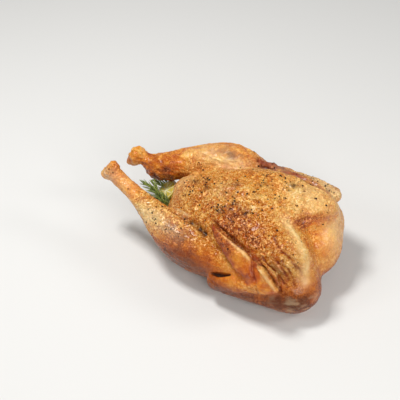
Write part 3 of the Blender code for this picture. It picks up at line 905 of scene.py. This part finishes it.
# where each sprig starts, which way it points, how long it is, and its turn
SPRIGS = [((-0.080, -0.008, 0.050), (-1.00, 0.10, 0.16), 0.060, 0.0),
          ((-0.082, 0.014, 0.036), (-1.00, 0.30, 0.16), 0.058, 1.1),
          ((-0.078, -0.014, 0.042), (-1.00, -0.02, 0.10), 0.056, 2.3),
          ((-0.090, 0.004, 0.030), (-1.00, 0.16, 0.06), 0.056, 3.1),
          ((-0.084, -0.012, 0.052), (-0.90, 0.44, 0.30), 0.044, 4.0),
          ((-0.088, 0.022, 0.030), (-1.00, 0.50, 0.22), 0.050, 4.7),
          ((-0.082, -0.018, 0.034), (-1.00, -0.10, 0.14), 0.044, 5.3),
          ((-0.096, 0.010, 0.026), (-1.00, 0.34, 0.02), 0.046, 5.9)]


def rosemary_material():
    m = Nodes("rosemary_leaf")
    tone = m.ramp(m.noise(160.0, 3.0), [(0.25, linear(60, 74, 20)), (0.50, linear(108, 124, 40)),
                                       (0.75, linear(168, 174, 88))])
    colour = m.mix(m.attribute("under"), tone, linear(150, 160, 116))
    colour = m.mix(m.attribute("wood"), colour, linear(92, 66, 38))
    m.shade({"Base Color": colour, "Roughness": m.fit(m.noise(400.0), 0.3, 0.7, 0.35, 0.6),
             "Normal": m.bump(m.noise(1500.0), 0.0002, 0.5)})
    return m.material


def tube_faces(rings, sides):
    """The faces of a closed tube whose points come ring by ring."""
    faces = []
    for k in range(rings - 1):
        for j in range(sides):
            a, b = k * sides + j, k * sides + (j + 1) % sides
            faces.append((a, b, b + sides, a + sides))
    faces.append(tuple(reversed(range(sides))))
    faces.append(tuple(range((rings - 1) * sides, rings * sides)))
    return faces


def needle(root, direction, up, length, width):
    """A narrow leaf whose edges roll under: its points, and 1 for each point below."""
    side = unit(np.cross(direction, up))
    top = np.cross(side, direction)
    points, under = [], []
    for k in range(NEEDLE_RINGS):
        t = k / (NEEDLE_RINGS - 1)
        wide = width / 2 * (0.45 + 0.75 * math.sin(math.pi * min(t * 1.05, 1)) ** 0.5) * (1 - t**6)
        middle = root + direction * length * t - top * length * 0.16 * t * t
        for across, high, low in NEEDLE_CORNERS:
            points.append(middle + side * wide * across + top * wide * high)
            under.append(low)
    return points, under


def sprig(name, start, direction, length, turn, material):
    """A woody stem with needles standing out all round it, shorter towards its tip."""
    random = np.random.default_rng(int(turn * 100) + 7)
    direction = unit(direction)
    side = unit(np.cross(direction, (0.0, 0.0, 1.0)))
    up = np.cross(side, direction)

    def stem(t):
        bend = 0.10 * length * math.sin(2.2 * t + turn)
        return np.array(start) + direction * length * t + side * bend + up * 0.08 * length * t * t

    def outward(angle):
        return math.cos(angle) * side + math.sin(angle) * up

    points, under, wood = [], [], []
    for k in range(STEM_RINGS):
        t = k / (STEM_RINGS - 1)
        for j in range(STEM_SIDES):
            out = outward(2 * math.pi * j / STEM_SIDES)
            points.append(stem(t) + STEM_RADIUS * (1 - 0.6 * t) * out)
            under.append(0)
            wood.append(1 - 0.6 * t)
    faces = tube_faces(STEM_RINGS, STEM_SIDES)
    leaf_faces = tube_faces(NEEDLE_RINGS, len(NEEDLE_CORNERS))
    whorls = int(length / WHORL_GAP)
    for k in range(whorls):
        t = (k + 0.5) / whorls
        for half in (0, 1):
            out = outward(k * 1.9 + half * math.pi + random.uniform(-0.4, 0.4))
            lean = random.uniform(0.55, 1.0) * (1 - 0.45 * t)
            way = direction * math.cos(lean) + out * math.sin(lean)
            size = NEEDLE_LENGTH * (1 - 0.55 * t**3) * random.uniform(0.75, 1.15)
            leaf_points, leaf_under = needle(stem(t) + out * 0.0006, way, out + 0.3 * direction,
                                             size, NEEDLE_WIDTH * random.uniform(0.85, 1.2))
            faces += [tuple(i + len(points) for i in face) for face in leaf_faces]
            points += leaf_points
            under += leaf_under
            wood += [0] * len(leaf_points)
    mesh = bpy.data.meshes.new(name)
    mesh.from_pydata([tuple(q) for q in points], [], faces)
    give(mesh, "under", under)
    give(mesh, "wood", wood)
    mesh.materials.append(material)
    mesh.shade_smooth()
    mesh.update()
    return piece_of(name, mesh)


# --- Pepper ------------------------------------------------------------------

PEPPER_COUNT = 430
PEPPER_SMALLEST, PEPPER_SPREAD = 0.00050, 0.00125   # radius, and how much larger it can be
# where the grains lie thicker, and how far round
PEPPER_THICK = [((0.020, -0.036, 0.116), 0.016), ((0.066, -0.030, 0.122), 0.012),
                ((0.100, 0.030, 0.131), 0.020), ((-0.045, -0.074, 0.091), 0.024),
                ((-0.075, -0.066, 0.094), 0.014), ((-0.030, -0.006, 0.112), 0.022),
                ((0.060, 0.010, 0.131), 0.026)]


def pepper_material():
    m = Nodes("cracked_pepper")
    tone = m.ramp(m.noise(700.0, 2.0), [(0.35, linear(24, 12, 8)), (0.65, linear(58, 28, 14)),
                                       (0.85, linear(112, 60, 28))])
    m.shade({"Base Color": tone, "Roughness": m.fit(m.noise(900.0), 0.3, 0.7, 0.65, 0.95),
             "Specular IOR Level": 0.25, "Normal": m.bump(m.noise(2500.0, 3.0), 0.0002, 0.6)})
    return m.material


def grain_chances(points, normals):
    """How likely each point of the skin is to hold a grain. All of them add up to 1."""
    where = regions(points)
    weight = 0.9 * where["breast"] * (1 - 0.75 * where["neck"]) + 0.5 * where["near_leg"]
    for centre, radius in PEPPER_THICK:
        weight = weight + 3.0 * spot(points, centre, (radius,) * 3)
    weight *= step_up(normals[:, 2], 0.15, 0.55) * step_up(points[:, 0], -0.125, -0.10)
    weight *= 0.12 + step_up(noise(points, 0.014, 95, 2), -0.05, 0.45)
    return weight / weight.sum()


def ball():
    """The points and faces of a rough sphere of radius 1."""
    bm = bmesh.new()
    bmesh.ops.create_icosphere(bm, subdivisions=1, radius=1.0)
    points = np.array([v.co for v in bm.verts])
    faces = np.array([[v.index for v in f.verts] for f in bm.faces])
    bm.free()
    return points, faces


def pepper(skin_piece, material):
    """Cracked grains scattered over the breast and the tops of the legs, thicker in places."""
    random = np.random.default_rng(12)
    points, _ = mesh_arrays(skin_piece.data)
    normals = normals_of(skin_piece.data)
    picked = random.choice(len(points), PEPPER_COUNT, replace=False,
                           p=grain_chances(points, normals))
    grain, grain_faces = ball()
    grains, faces = [], []
    for i in picked:
        n = normals[i]
        size = PEPPER_SMALLEST + PEPPER_SPREAD * random.random()**2.0
        shape = grain * (1 + random.uniform(-0.35, 0.35, (len(grain), 1)))
        shape = shape * size * np.array([1.0, random.uniform(0.5, 1.0), 0.55])
        turn = Matrix.Rotation(random.uniform(0, 6.28), 3, "Z")
        lie = Vector(n).to_track_quat("Z", "Y").to_matrix() @ turn
        faces.append(grain_faces + len(grains) * len(grain))
        grains.append(points[i] + n * size * 0.25 + shape @ np.array(lie).T)
    mesh = bpy.data.meshes.new("pepper")
    mesh.from_pydata(np.concatenate(grains).tolist(), [], np.concatenate(faces).tolist())
    mesh.materials.append(material)
    mesh.update()
    return piece_of("pepper", mesh)


# --- Studio ------------------------------------------------------------------

FLOOR_SIZE, FLOOR_GAP = 3.0, 0.0002
WORLD_STRENGTH = 0.22
# name, place, width in metres and power in watts of each light; all look at the bird
LIGHTS = [("key", (-0.50, -0.10, 1.5), 0.35, 18.5),
          ("fill", (1.2, -1.0, 1.0), 0.8, 15.5),
          ("side", (-1.0, -1.1, 1.3), 0.5, 5.0),
          ("front", (1.4, 0.60, 1.1), 0.5, 8.0)]


def set_camera(scene):
    camera = bpy.data.objects.new("camera", bpy.data.cameras.new("camera"))
    scene.collection.objects.link(camera)
    right, down = Vector(CAMERA_RIGHT), Vector(CAMERA_DOWN)
    back = down.cross(right)
    turn = Matrix((right, -down, back)).transposed().to_4x4()
    camera.matrix_world = Matrix.Translation(CAMERA_PLACE) @ turn
    camera.data.lens = LENS
    camera.data.sensor_width = SENSOR
    scene.camera = camera


def lay_floor(scene):
    bm = bmesh.new()
    bmesh.ops.create_grid(bm, x_segments=2, y_segments=2, size=FLOOR_SIZE)
    mesh = bpy.data.meshes.new("floor")
    bm.to_mesh(mesh)
    bm.free()
    floor = bpy.data.objects.new("floor", mesh)
    scene.collection.objects.link(floor)
    m = Nodes("floor_paper")
    m.shade({"Base Color": linear(214, 213, 210), "Roughness": 0.9})
    mesh.materials.append(m.material)
    floor.location.z = -FLOOR_GAP


def light_up(scene):
    for name, place, size, power in LIGHTS:
        light = bpy.data.lights.new(name, "AREA")
        light.size = size
        light.energy = power
        lamp = bpy.data.objects.new(name, light)
        scene.collection.objects.link(lamp)
        lamp.location = place
        lamp.rotation_mode = "QUATERNION"
        lamp.rotation_quaternion = (-Vector(place)).to_track_quat("-Z", "Y")
    world = bpy.data.worlds.new("studio")
    scene.world = world
    world.use_nodes = True
    background = world.node_tree.nodes["Background"]
    background.inputs["Color"].default_value = (1.0, 1.0, 1.0, 1.0)
    background.inputs["Strength"].default_value = WORLD_STRENGTH
    scene.view_settings.view_transform = "Standard"


set_camera(bpy.context.scene)
lay_floor(bpy.context.scene)
light_up(bpy.context.scene)
turkey = skin()
lemon = lemon_material()
lemon_slice("lemon_slice_upper", lemon, 0.4)
lemon_slice("lemon_slice_lower", lemon, 1.3)
leaf = rosemary_material()
for number, sprig_place in enumerate(SPRIGS):
    sprig(f"rosemary_{number + 1}", *sprig_place, leaf)
pepper(turkey, pepper_material())
